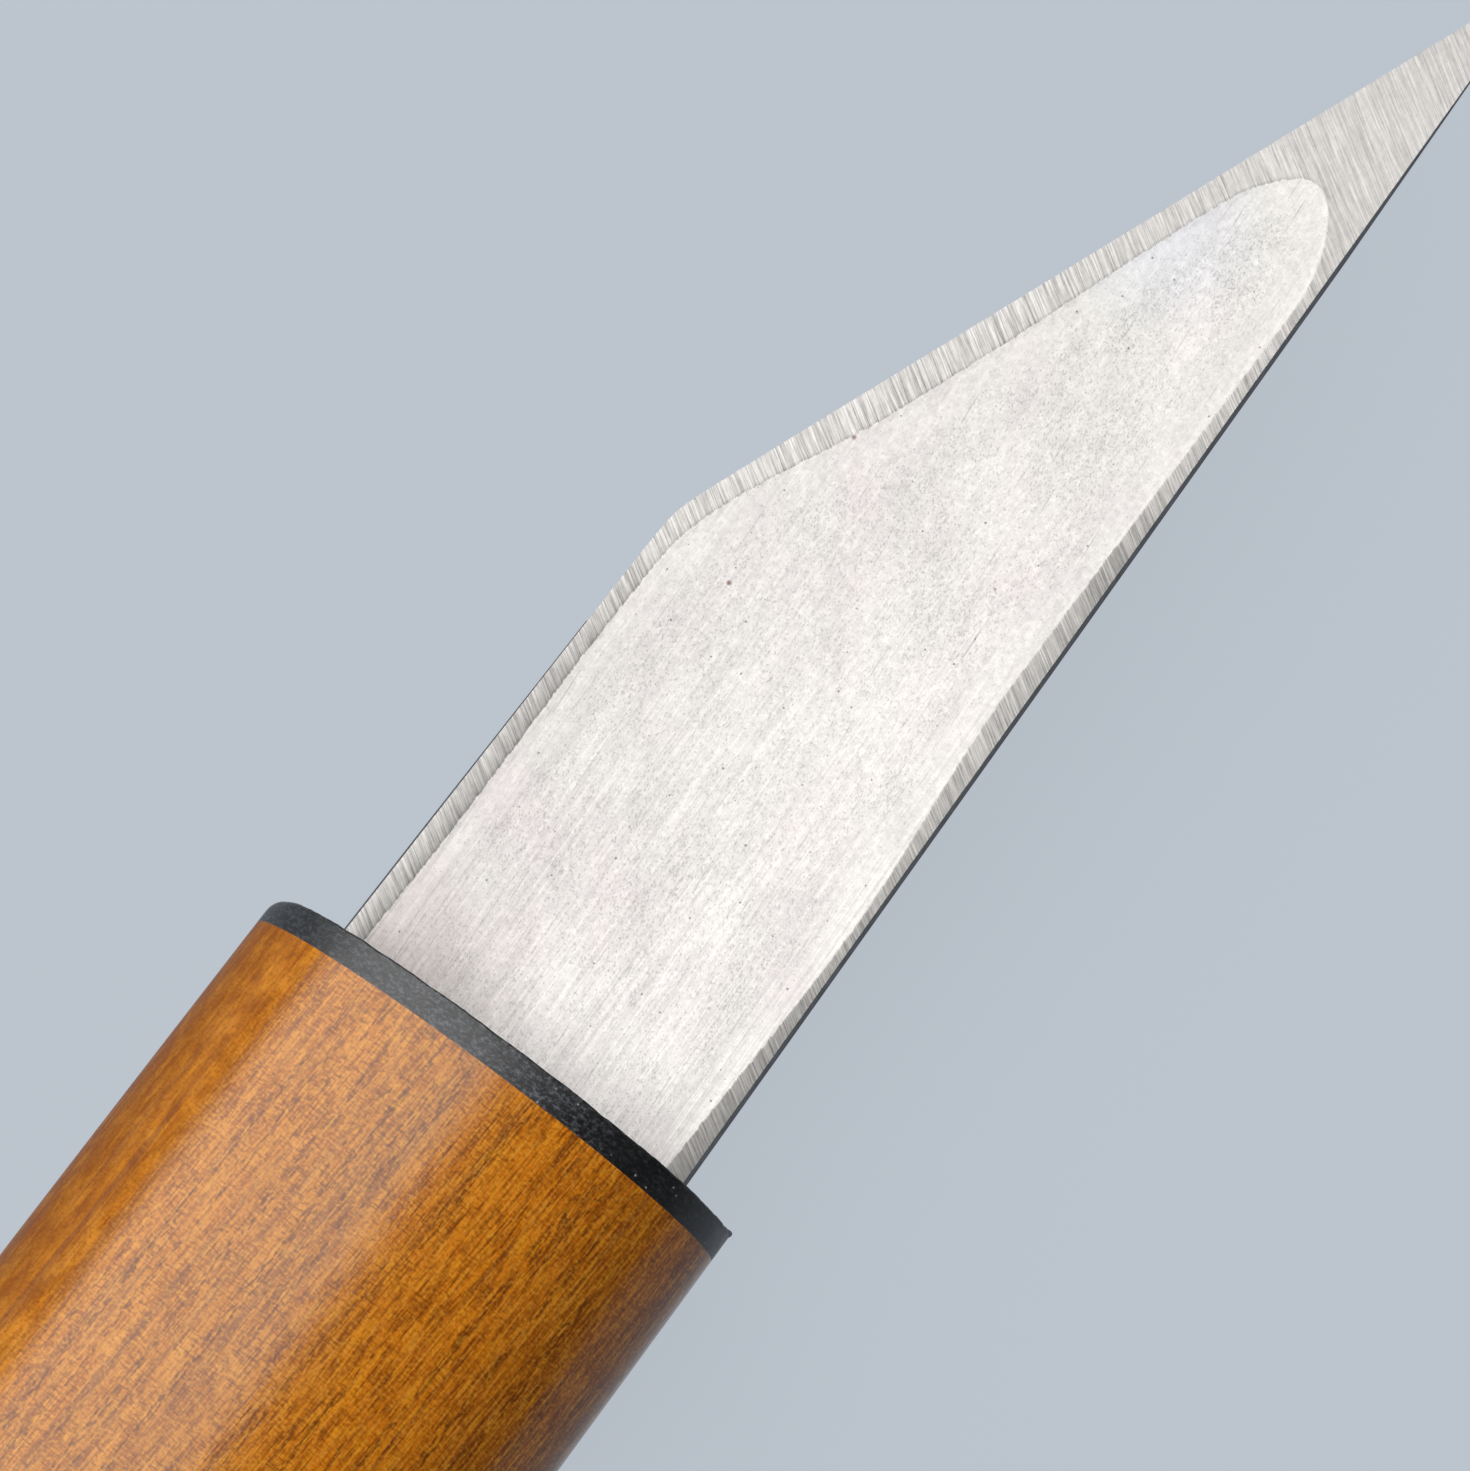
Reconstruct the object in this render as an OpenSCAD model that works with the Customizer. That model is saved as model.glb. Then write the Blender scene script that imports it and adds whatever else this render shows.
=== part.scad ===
// Marking knife: a skewed single-bevel blade, forge-welded from hard steel and soft iron and hollow
// ground on its back, set in an oval wooden handle of two glued halves with a plastic collar.
// It lies on its handle with the blade's back face up, the tip towards +X and the cutting edge towards +Y.
// The pieces are drawn from the middle of the collar's front face, and placed() then sets the knife down.

/* [Blade] */
// Length of the blade from the collar's front face to the tip
blade_len = 87.5; // [75:0.1:110]
// Width of the back face at the collar
blade_w = 23.9; // [18:0.1:26]
// Offset of the blade's middle from the handle's axis, towards the cutting edge
blade_shift = -0.2; // [-1:0.1:1]
// Thickness of the blade
blade_t = 3.2; // [2.4:0.1:4.5]
// Thickness of the hard steel layer on the back
steel_t = 1.1; // [0.8:0.1:1.6]
// Angle of the cutting edge to the blade's length
skew_angle = 21.1; // [18:0.1:35]
// Angle of the bevel ground under the cutting edge
bevel_angle = 22; // [18:0.5:30]
// Taper of the flank behind the cutting edge
flank_taper = 0.8; // [0:0.1:2]
// Taper of the spine
spine_taper = 1.2; // [0:0.1:2]
// Lean of the flank and the spine, which makes the front face wider than the back
side_lean = 4.8; // [0:0.1:8]
// Depth of the corner broken off at the heel of the cutting edge
heel_break = 0.25; // [0.1:0.05:0.6]

/* [Hollow in the back] */
// Radius of the hollow across the blade
hollow_r = 140; // [100:1:300]
// Width of the flat rim left along the flank
flank_rim = 1.15; // [0.8:0.05:2.5]
// Width of the flat rim left along the cutting edge
edge_rim = 1.65; // [1:0.05:3]
// Width of the flat rim left along the spine
spine_rim = 0.9; // [0.7:0.1:2.5]
// How softly the hollow turns the corner at the heel
heel_blend = 0.3; // [0.1:0.1:2]
// Length of the flat tip beyond the hollow
flat_tip = 18.3; // [14:0.1:30]
// Length of the hollow's rounded end
hollow_round = 7.2; // [4:0.1:12]
// How far the hollow runs on behind the collar's front face
hollow_lead = 4; // [2.5:0.1:5.5]

/* [Tang] */
// Length of the full-width root, from the collar's front face to the shoulders
root_len = 8; // [7:0.1:14]
// Distance from the shoulders to the foot of the scarf that ends the steel layer
scarf_gap = 2; // [1.8:0.1:3]
// Distance from the collar's front face to the tang's end
tang_len = 62; // [35:0.5:90]
// Width of the tang at the shoulders
tang_w = 14; // [10:0.1:16]
// Width of the tang at its end
tang_end_w = 9; // [5:0.1:10]
// Step from each face of the blade down to the thinner tang
tang_step = 0.2; // [0.1:0.05:0.5]
// Room for the bedding all round the tang
bed_gap = 0.4; // [0.2:0.05:0.8]

/* [Handle] */
// Length of the handle with its collar
handle_len = 118; // [100:0.5:140]
// Width at the mouth
mouth_w = 32.1; // [30:0.1:38]
// Thickness at the mouth
mouth_t = 20.5; // [15:0.1:26]
// How much wider the handle is at its belly than at its mouth
swell = 0.5; // [0.2:0.1:5]
// Distance from the mouth to the belly
belly_at = 50; // [40:0.5:75]
// Radius of the rounded edge at the butt
butt_round = 3; // [1:0.1:6]
// Width of the flat left along the underside at the belly, on which the knife lies
rest_w = 6; // [4:0.1:8]

/* [Collar] */
// Length of the collar along the handle
collar_len = 1.8; // [1.2:0.1:2.4]
// Radius of the collar's front edge
collar_round = 0.5; // [0.2:0.1:1]
// Clearance between the blade and the collar's slot
slot_gap = 0.15; // [0.05:0.05:0.3]

/* [Hidden] */

// How finely the curves are divided
grip_bands = 12;
round_steps = 6;
hollow_stations = 26;
hollow_steps = 10;
$fn = 96;

// Cutters run past the faces that they cut by this much, and the largest ones reach past the whole knife
overrun = blade_t / 3;
reach = 2 * (blade_len + handle_len);

// Heights of the back face and of the weld between the steel and the iron
back_z = blade_t / 2;
weld_z = back_z - steel_t;

// The blade's outline on its back face
edge_half = blade_w / 2 + blade_shift;
spine_half = blade_w / 2 - blade_shift;
function flank_y(x) = edge_half - x * tan(flank_taper);
function spine_y(x) = -spine_half + x * tan(spine_taper);
function edge_y(x) = spine_y(blade_len) + (blade_len - x) * tan(skew_angle);
heel_x = (edge_y(0) - edge_half) / (tan(skew_angle) - tan(flank_taper));
heel_turn = (skew_angle + flank_taper) / 2;
side_flare = blade_t * tan(side_lean);

// The hollow's outline and depth: it keeps the rims' distance, turns softly at the heel and ends in a round
hollow_end = blade_len - flat_tip;
function soft_least(a, b, soft) = (a + b) / 2 - sqrt(pow((a - b) / 2, 2) + soft * soft);
function inside_flank(x) = flank_y(x) - flank_rim;
function inside_edge(x) = edge_y(x) - edge_rim / cos(skew_angle);
function hollow_top(x) = soft_least(inside_flank(x), inside_edge(x), heel_blend);
function hollow_low(x) = spine_y(x) + spine_rim;
function round_off(x) = sqrt(1 - pow(max(0, (x - hollow_end) / hollow_round + 1), 2));
function hollow_mid(x) = (hollow_top(x) + hollow_low(x)) / 2;
function hollow_half(x) = round_off(x) * (hollow_top(x) - hollow_low(x)) / 2;
function hollow_depth(x) = pow(hollow_half(x), 2) / (2 * hollow_r);

// Stations crowd towards the rounded end, and the last stands just short of it
hollow_last_turn = 88;
function hollow_station(i) = -hollow_lead
    + (hollow_end + hollow_lead) * sin(hollow_last_turn * i / hollow_stations);
// The cutter's sections run this much wider than the rims, to leave the back face cleanly
hollow_spread = 1.12;

// The tang's thickness, and the root's half widths at the shoulders, where its front face is widest
tang_t = blade_t - 2 * tang_step;
root_edge_half = flank_y(-root_len) + side_flare;
root_spine_half = -spine_y(-root_len) + side_flare;

// The handle's half width along its length, and its flatness
belly_w = mouth_w + swell;
function grip_half(x) = belly_w / 2 - swell / 2 * pow(1 + x / belly_at, 2);
flatness = mouth_t / mouth_w;
belly_t = belly_w * flatness;
rest_z = -belly_t / 2 * sqrt(1 - pow(rest_w / belly_w, 2));

// Sets the knife down on its handle, with the origin under the middle of its length
module placed() {
    translate([(handle_len - blade_len) / 2, 0, -rest_z])
        children();
}

// Solid skin over rings of points that all hold the same count, closed at both ends
module loft(rings) {
    count = len(rings[0]);
    last = len(rings) - 1;
    sides = [
        for (i = [0:last - 1], k = [0:count - 1])
            let (a = i * count + k, b = i * count + (k + 1) % count)
                each [[a, b + count, b], [a, a + count, b + count]]
    ];
    first_cap = [for (k = [0:count - 1]) k];
    last_cap = [for (k = [count - 1:-1:0]) last * count + k];
    polyhedron([for (ring = rings) each ring], concat([first_cap], sides, [last_cap]));
}

// What a grinding pass takes off: all beyond a plane through a line on the back face
module ground_off(x, y, heading, lean) {
    translate([x, y, back_z])
        rotate([0, 0, heading])
            rotate([lean, 0, 0])
                translate([-reach / 2, 0, -reach / 2])
                    cube(reach);
}

// The blade and its root as one bar, ground to its outline and bevel
module blade_bar() {
    difference() {
        translate([-root_len, -blade_w, -blade_t / 2])
            cube([root_len + blade_len + overrun, 2 * blade_w, blade_t]);
        ground_off(0, edge_half, -flank_taper, side_lean);
        ground_off(0, -spine_half, 180 + spine_taper, side_lean);
        ground_off(blade_len, spine_y(blade_len), -skew_angle, bevel_angle - 90);
        ground_off(heel_x, flank_y(heel_x) - heel_break / cos(heel_turn), -heel_turn, 0);
    }
}

// The space of the steel layer, which ends on a slanted scarf inside the handle
module steel_layer() {
    foot_x = scarf_gap - root_len;
    rise = steel_t + overrun;
    rotate([90, 0, 0])
        linear_extrude(height = 4 * blade_w, center = true)
            polygon([
                [foot_x, weld_z],
                [blade_len + 2 * overrun, weld_z],
                [blade_len + 2 * overrun, weld_z + rise],
                [foot_x - rise, weld_z + rise]
            ]);
}

// The hollow, whose sections are shallow arcs that span the back face from rim to rim
module hollow() {
    lid = back_z + overrun;
    loft([
        for (i = [0:hollow_stations])
            let (x = hollow_station(i), mid = hollow_mid(x), half = hollow_half(x), depth = hollow_depth(x))
                [
                    for (k = [0:hollow_steps])
                        let (t = hollow_spread * (2 * k / hollow_steps - 1))
                            [x, mid + t * half, back_z - depth * (1 - t * t)],
                    [x, mid + hollow_spread * half, lid],
                    [x, mid - hollow_spread * half, lid]
                ]
    ]);
}

// The tang, or with grow the recess for it
module tang(grow) {
    linear_extrude(height = tang_t + 2 * grow, center = true)
        polygon([
            [-root_len + overrun, tang_w / 2 + grow],
            [-tang_len - grow, tang_end_w / 2 + grow],
            [-tang_len - grow, -tang_end_w / 2 - grow],
            [-root_len + overrun, -tang_w / 2 - grow]
        ]);
}

// The recess for the root and the tang, open towards the collar up to front_x
module tang_recess(front_x) {
    back_x = -root_len - bed_gap;
    translate([back_x, -root_spine_half - bed_gap, -blade_t / 2 - bed_gap])
        cube([front_x - back_x, root_edge_half + root_spine_half + 2 * bed_gap, blade_t + 2 * bed_gap]);
    tang(bed_gap);
}

module steel_shape() {
    difference() {
        intersection() {
            blade_bar();
            steel_layer();
        }
        hollow();
    }
}

module iron_shape() {
    difference() {
        union() {
            blade_bar();
            tang(0);
        }
        steel_layer();
    }
}

// The handle and collar as one oval form, with rounded edges at the mouth and the butt
module grip_form() {
    front_x = -collar_round;
    front_r = grip_half(front_x) - collar_round;
    butt_x = -handle_len + butt_round;
    butt_r = grip_half(butt_x) - butt_round;
    front_edge = [
        for (i = [0:round_steps])
            let (turn = 90 - 90 * i / round_steps)
                [front_r + collar_round * cos(turn), front_x + collar_round * sin(turn)]
    ];
    sides = [
        for (i = [1:grip_bands - 1])
            let (x = front_x + (butt_x - front_x) * i / grip_bands)
                [grip_half(x), x]
    ];
    butt_edge = [
        for (i = [0:round_steps])
            let (turn = -90 * i / round_steps)
                [butt_r + butt_round * cos(turn), butt_x + butt_round * sin(turn)]
    ];
    far_x = -handle_len - overrun;
    far_ends = [[butt_r, far_x], [0, far_x], [0, overrun], [front_r, overrun]];
    scale([1, 1, flatness])
        rotate([0, 90, 0])
            rotate_extrude()
                polygon(concat(front_edge, sides, butt_edge, far_ends));
}

// Heights between which each half of the oval form lies: they meet at the middle plane, where the handle
// is glued, and the front half ends at the flat
back_span = [0, belly_t];
front_span = [rest_z, 0];

// A length of one half of the oval form
module grip_slice(from_x, to_x, span) {
    intersection() {
        grip_form();
        translate([from_x, -belly_w, span[0]])
            cube([to_x - from_x, 2 * belly_w, span[1] - span[0]]);
    }
}

module handle_half(span) {
    difference() {
        grip_slice(-handle_len, -collar_len, span);
        tang_recess(-collar_len + overrun);
    }
}

module blade_steel() {
    color("gainsboro")
        placed()
            steel_shape();
}

module blade_iron() {
    color("dimgray")
        placed()
            iron_shape();
}

module collar() {
    wide = slot_gap + collar_len * tan(max(flank_taper, spine_taper));
    color("#26272a")
        placed()
            difference() {
                for (span = [back_span, front_span])
                    grip_slice(-collar_len, 0, span);
                rotate([90, 0, 90])
                    linear_extrude(height = 4 * collar_len, center = true)
                        polygon([
                            [edge_half + wide, back_z + slot_gap],
                            [-spine_half - wide, back_z + slot_gap],
                            [-spine_half - side_flare - wide, -back_z - slot_gap],
                            [edge_half + side_flare + wide, -back_z - slot_gap]
                        ]);
            }
}

module handle_back_half() {
    color("#b9772e")
        placed()
            handle_half(back_span);
}

module handle_front_half() {
    color("#ad6b27")
        placed()
            handle_half(front_span);
}

module tang_bedding() {
    color("#cbb98c")
        placed()
            difference() {
                tang_recess(-collar_len);
                steel_shape();
                iron_shape();
            }
}

blade_steel();
blade_iron();
collar();
handle_back_half();
handle_front_half();
tang_bedding();
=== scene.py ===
import math

import bmesh
import bpy
import numpy as np
from mathutils import Matrix, Vector, geometry, noise


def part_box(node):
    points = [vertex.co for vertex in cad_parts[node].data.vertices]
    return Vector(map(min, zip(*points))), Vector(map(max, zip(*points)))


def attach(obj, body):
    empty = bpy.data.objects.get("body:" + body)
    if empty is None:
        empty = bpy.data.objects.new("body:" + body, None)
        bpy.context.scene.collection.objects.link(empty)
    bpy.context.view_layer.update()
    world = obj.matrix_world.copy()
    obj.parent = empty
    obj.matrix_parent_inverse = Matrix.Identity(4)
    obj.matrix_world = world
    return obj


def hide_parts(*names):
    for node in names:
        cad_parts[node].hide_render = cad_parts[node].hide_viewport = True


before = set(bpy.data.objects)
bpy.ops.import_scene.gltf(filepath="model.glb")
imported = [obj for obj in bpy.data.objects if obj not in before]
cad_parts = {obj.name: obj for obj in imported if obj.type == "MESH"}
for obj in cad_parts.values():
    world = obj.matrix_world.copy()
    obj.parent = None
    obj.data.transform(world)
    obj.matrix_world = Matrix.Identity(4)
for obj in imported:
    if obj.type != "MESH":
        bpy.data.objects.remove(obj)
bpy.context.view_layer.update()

scene = bpy.context.scene
scene.view_settings.view_transform = "Standard"
mm = 0.001

# The knife is drawn in millimetres from the middle of the collar's front face:
# x to the tip, y to the cutting edge, z out of the blade's back
mouth = Vector((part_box("collar")[1].x, 0, (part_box("blade_steel")[1].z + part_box("blade_iron")[0].z) / 2))


def spot(x, y, z):
    return mouth + Vector((x, y, z)) * mm


def linear(hexColour):  # sRGB hex to the linear values that sockets take
    parts = [int(hexColour[i:i + 2], 16) / 255 for i in (1, 3, 5)]
    return tuple(c / 12.92 if c < 0.04045 else ((c + 0.055) / 1.055) ** 2.4 for c in parts) + (1.0,)


def put(tree, kind, wires=None, **settings):
    # adds a node: its settings first, then values or links on its inputs
    made = tree.nodes.new(kind)
    for key, value in settings.items():
        setattr(made, key, value)
    for key, value in (wires or {}).items():
        if isinstance(value, bpy.types.NodeSocket):
            tree.links.new(value, made.inputs[key])
        else:
            made.inputs[key].default_value = value
    return made


def addObject(name, data):
    made = bpy.data.objects.new(name, data)
    scene.collection.objects.link(made)
    return made


def newMaterial(name):
    made = bpy.data.materials.new(name)
    made.use_nodes = True
    made.node_tree.nodes.clear()
    shader = put(made.node_tree, "ShaderNodeBsdfPrincipled")
    put(made.node_tree, "ShaderNodeOutputMaterial", {"Surface": shader.outputs[0]})
    place = put(made.node_tree, "ShaderNodeTexCoord").outputs["Object"]
    return made, made.node_tree, shader, place


def layPatterns(tree, place, layers):
    # noise by name: its size along, across and deep in mm, its turn in degrees, detail and roughness
    tone = {}
    for name, (long, wide, deep, turn, detail, rough) in layers.items():
        laid = put(tree, "ShaderNodeMapping", {"Vector": place, "Rotation": (0, 0, math.radians(turn)),
                                               "Scale": (long * mm, wide * mm, deep * mm)},
                   vector_type="TEXTURE")
        tone[name] = put(tree, "ShaderNodeTexNoise", {"Vector": laid.outputs[0], "Scale": 1.0,
                                                      "Detail": detail, "Roughness": rough}).outputs[0]
    return tone


def layTints(tree, colour, tone, hold, tints):
    # pattern, the range of it that counts, the most that it tints, the tint, and where it gathers
    for name, low, high, most, tint, where in tints:
        share = put(tree, "ShaderNodeMapRange", {"Value": tone[name], 1: low, 2: high, 3: 0.0,
                                                 4: most}).outputs[0]
        if where:
            share = put(tree, "ShaderNodeMath", {0: share, 1: hold[where]}, operation="MULTIPLY").outputs[0]
        colour = put(tree, "ShaderNodeMix", {0: share, 6: colour, 7: linear(tint)},
                     data_type="RGBA").outputs[2]
    return colour


def ease(t):
    t = min(1, max(0, t))
    return t * t * (3 - 2 * t)


def softLeast(a, b, soft):
    return (a + b) / 2 - math.sqrt((a - b) ** 2 / 4 + soft * soft)


def finishPiece(piece, node, sharpAngle):
    piece.data.shade_smooth()
    piece.data.set_sharp_from_angle(angle=math.radians(sharpAngle))
    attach(piece, "root")
    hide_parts(node)
    print(piece.name, "done:", len(piece.data.polygons), "faces")


# Camera, floor and light: the camera in millimetres and degrees, the floor and the light in metres

view = dict(lookAt=(23.01, 0.74, 1.6), leanAlong=9.84, leanAcross=1.63, roll=53.01,
            distance=500.0, focalPixels=8771.0, framePixels=1471.0, sensor=36.0, clipEnd=20000.0)


def makeCamera():
    leans = [math.tan(math.radians(view[name])) for name in ("leanAlong", "leanAcross")]
    ahead = Vector((*leans, -1)).normalized()
    tipward = (Vector((1, 0, 0)) - ahead * ahead.x).normalized()
    across = ahead.cross(tipward)
    turn = math.radians(view["roll"])
    right = tipward * math.cos(turn) + across * math.sin(turn)
    up = tipward * math.sin(turn) - across * math.cos(turn)
    data = bpy.data.cameras.new("camera")
    data.sensor_fit = "VERTICAL"
    data.sensor_height = view["sensor"]
    data.lens = view["focalPixels"] * view["sensor"] / view["framePixels"]
    data.clip_end = view["clipEnd"] * mm
    camera = addObject("camera", data)
    place = spot(*view["lookAt"]) - ahead * view["distance"] * mm
    camera.matrix_world = Matrix.Translation(place) @ Matrix((right, up, -ahead)).transposed().to_4x4()
    scene.camera = camera


stage = dict(colour="#bcc4cd", flat=2.7, bend=0.3, wall=0.45, around=96, bendSteps=8, shadowShare=0.08)


def makeFloor():
    # a paper sweep: a round floor whose rim turns up into a low wall
    profile = [(stage["flat"], 0)]
    for i in range(1, stage["bendSteps"] + 1):
        turn = math.pi / 2 * i / stage["bendSteps"]
        rise = stage["bend"] * (1 - math.cos(turn))
        profile.append((stage["flat"] + stage["bend"] * math.sin(turn), rise))
    profile.append((stage["flat"] + stage["bend"], stage["wall"]))
    count = stage["around"]
    turns = [2 * math.pi * i / count for i in range(count)]
    verts = [(0, 0, 0)]
    for r, z in profile:
        verts += [(r * math.cos(t), r * math.sin(t), z) for t in turns]
    faces = [(0, 1 + i, 1 + (i + 1) % count) for i in range(count)]
    for k in range(len(profile) - 1):
        low, high = 1 + k * count, 1 + (k + 1) * count
        faces += [(low + i, high + i, high + (i + 1) % count, low + (i + 1) % count) for i in range(count)]
    mesh = bpy.data.meshes.new("floor")
    mesh.from_pydata(verts, [], faces)
    floor = addObject("floor", mesh)
    made = bpy.data.materials.new("paleStudioPaper")
    made.use_nodes = True
    tree = made.node_tree
    tree.nodes.clear()
    paper = put(tree, "ShaderNodeBsdfDiffuse", {"Color": linear(stage["colour"])})
    even = put(tree, "ShaderNodeEmission", {"Color": linear(stage["colour"]), "Strength": 1.0})
    # the camera and reflections see the paper's own colour with a little of the real shade
    ray = put(tree, "ShaderNodeLightPath")
    seen = put(tree, "ShaderNodeMath", {0: ray.outputs["Is Camera Ray"], 1: ray.outputs["Is Glossy Ray"]},
               operation="MAXIMUM")
    seen = put(tree, "ShaderNodeMath", {0: seen.outputs[0], 1: ray.outputs["Is Transmission Ray"]},
               operation="MAXIMUM")
    share = put(tree, "ShaderNodeMath", {0: seen.outputs[0], 1: 1 - stage["shadowShare"]},
                operation="MULTIPLY")
    mixed = put(tree, "ShaderNodeMixShader", {0: share.outputs[0], 1: paper.outputs[0],
                                              2: even.outputs[0]})
    put(tree, "ShaderNodeOutputMaterial", {"Surface": mixed.outputs[0]})
    mesh.materials.append(made)


light = dict(nearEdge=0.0, farEdge=67.0, distance=0.8, wide=0.85, radiance=3.74, ambient=0.06)


def makeLight():
    # one large softbox that reaches from straight above down the cutting edge's side, edges in degrees
    middle = math.radians((light["nearEdge"] + light["farEdge"]) / 2)
    deep = 2 * light["distance"] * math.tan(math.radians(light["farEdge"] - light["nearEdge"]) / 2)
    data = bpy.data.lights.new("softbox", "AREA")
    data.shape = "RECTANGLE"
    data.size = light["wide"]
    data.size_y = deep
    data.energy = light["radiance"] * math.pi * light["wide"] * deep
    lamp = addObject("softbox", data)
    lamp.location = spot(0, 0, 0) + Vector((0, math.sin(middle), math.cos(middle))) * light["distance"]
    lamp.rotation_euler = (-middle, 0, 0)
    world = bpy.data.worlds.new("studio")
    world.use_nodes = True
    tree = world.node_tree
    tree.nodes.clear()
    dim = put(tree, "ShaderNodeBackground", {"Color": (1, 1, 1, 1), "Strength": light["ambient"]})
    put(tree, "ShaderNodeOutputWorld", {"Surface": dim.outputs[0]})
    scene.world = world


makeCamera()
makeFloor()
makeLight()
print("stage done")


# Blade: outline, hollow and layers, in millimetres and degrees

blade = dict(length=87.5, thick=3.2, steel=1.1, edgeHalf=11.75, spineHalf=12.15,
             flankTaper=0.8, spineTaper=1.2, skew=21.1, bevel=22.0, lean=4.8, heelSoft=0.2, scarfFoot=-6.0,
             spineCount=300, edgeCount=190, flankCount=125, rootCount=40, wallSteps=4, wallAway=-3.0)
# ledge, rims and spineLine are (place along the blade, value) points; from grain on, how fine the mesh is
hollow = dict(radius=140.0, heelSoft=0.3, start=-4.0, end=69.4, crest=0.62, spineRound=6.8, edgeRound=4.2,
              ledge=[(-4, 0.006), (48, 0.008), (60, 0.017), (70, 0.017)], ledgeRun=0.3,
              edgeRim=[(27, 1.3), (33, 1.32), (44, 2.0), (48, 1.97), (64, 1.54), (70, 1.5)],
              flankRim=[(-4, 1.15), (8, 1.27), (24, 1.0), (70, 1.0)],
              spineLine=[(-4, -10.8), (17, -11.3), (35, -10.2), (62, -10.27), (70, -10.27)],
              grain=0.34, rowStep=0.866, straightSteps=260, tongueSteps=60,
              stepRows=(-0.12, 0.1, 0.2, 0.32), stepClear=(-0.22, 0.42), outlineClear=0.12)
backZ = blade["thick"] / 2


def slope(name):
    return math.tan(math.radians(blade[name]))


def flankY(x):
    return blade["edgeHalf"] - x * slope("flankTaper")


def spineY(x):
    return -blade["spineHalf"] + x * slope("spineTaper")


def edgeY(x):
    return spineY(blade["length"]) + (blade["length"] - x) * slope("skew")


def heelAt(flankOut, edgeIn):  # where the flank, moved out, meets the edge line, moved in
    return (edgeY(0) - edgeIn - flankOut - blade["edgeHalf"]) / (slope("skew") - slope("flankTaper"))


def tipAt(spineOut, edgeIn):
    return blade["length"] - (edgeIn - spineOut) / (slope("skew") + slope("spineTaper"))


def along(path, x):  # a value that eases from point to point along the blade
    for (x0, y0), (x1, y1) in zip(path, path[1:]):
        if x <= x1:
            return y0 + (y1 - y0) * ease((x - x0) / (x1 - x0))
    return path[-1][1]


def hollowSides(x):  # the hollow's spine side and edge side at x, drawn together into a tongue at its end
    low = along(hollow["spineLine"], x)
    byFlank = flankY(x) - along(hollow["flankRim"], x)
    byEdge = edgeY(x) - along(hollow["edgeRim"], x)
    top = softLeast(byFlank, byEdge, hollow["heelSoft"])
    mid = low + (top - low) * hollow["crest"]
    lowPart, topPart = [math.sqrt(max(0, 1 - max(0, (x - hollow["end"]) / hollow[run] + 1) ** 2))
                        for run in ("spineRound", "edgeRound")]
    return mid - (mid - low) * lowPart, mid + (top - mid) * topPart


def hollowDepth(x, y):
    low, top = hollowSides(min(max(x, hollow["start"]), hollow["end"]))
    return max(0, (top - y) * (y - low)) / (2 * hollow["radius"]) + along(hollow["ledge"], x)


def hollowOutline():
    bend = hollow["end"] - hollow["spineRound"]
    straight, tongue = hollow["straightSteps"], hollow["tongueSteps"]
    runs = [hollow["start"] + (bend - hollow["start"]) * i / straight for i in range(straight)]
    runs += [bend + hollow["spineRound"] * math.sin(math.pi / 2 * i / tongue) for i in range(tongue + 1)]
    sides = [hollowSides(x) for x in runs]
    low = [(x, y) for x, (y, _) in zip(runs, sides)]
    top = [(x, y) for x, (_, y) in zip(runs, sides)]
    return low[:-1] + top[::-1]  # anticlockwise from the root's spine side


def nearest(points, line):  # distance from each point to a closed line, and the sign: positive inside
    a = np.array(line)
    b = np.roll(a, -1, axis=0)
    run = b - a
    length = np.maximum((run ** 2).sum(1), 1e-12)
    least = np.full(len(points), 1e9)
    inside = np.zeros(len(points), bool)
    for k in range(len(a)):
        away = points - a[k]
        t = np.clip((away @ run[k]) / length[k], 0, 1)
        least = np.minimum(least, np.hypot(*(away - t[:, None] * run[k]).T))
        crosses = (a[k, 1] > points[:, 1]) != (b[k, 1] > points[:, 1])
        with np.errstate(divide="ignore", invalid="ignore"):
            cut = a[k, 0] + (points[:, 1] - a[k, 1]) / run[k, 1] * run[k, 0]
        inside ^= crosses & (points[:, 0] < cut)
    return np.where(inside, least, -least)


def ringLine(depth):
    # the blade's outline at a depth under the back face, anticlockwise from the root's spine corner
    out = depth * slope("lean")
    inward = depth / slope("bevel") / math.cos(math.radians(blade["skew"]))
    root = blade["scarfFoot"] - (blade["steel"] - depth)
    tip = tipAt(out, inward)
    heel = heelAt(out, inward)
    spineCount, edgeCount, flankCount = blade["spineCount"], blade["edgeCount"], blade["flankCount"]
    ahead = [root + (tip - root) * i / spineCount for i in range(spineCount)]
    line = [(x, spineY(x) - out) for x in ahead]
    back = [tip + (heel - tip) * i / edgeCount for i in range(edgeCount)]
    back += [heel + (root - heel) * i / flankCount for i in range(flankCount + 1)]
    line += [(x, softLeast(flankY(x) + out, edgeY(x) - inward, blade["heelSoft"])) for x in back]
    rootTop, rootLow, count = line[-1][1], line[0][1], blade["rootCount"]
    line += [(root, rootTop + (rootLow - rootTop) * i / count) for i in range(1, count)]
    return line


# how far the stone has reached on each side along the blade, and how that falls away from the hollow
lapping = dict(flank=[(-6, 0.28), (10, 0.29), (18, 0.31), (27, 0.55), (38, 0.68), (48, 0.68), (58, 0.77),
                      (70, 0.82)],
               flankFall=[(-6, 0.42), (20, 0.38), (32, 0.1), (70, 0.04)],
               spine=[(-6, 0.05), (4, 0.08), (36, 0.46), (44, 0.32), (52, 0.57), (62, 0.66), (72, 0.88)],
               spineFall=[(-6, -0.15), (60, -0.1), (72, 0.0)],
               turnFrom=-9.0, turnRun=12.0, awayLeast=-1.5, awayMiddle=-0.55)


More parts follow.
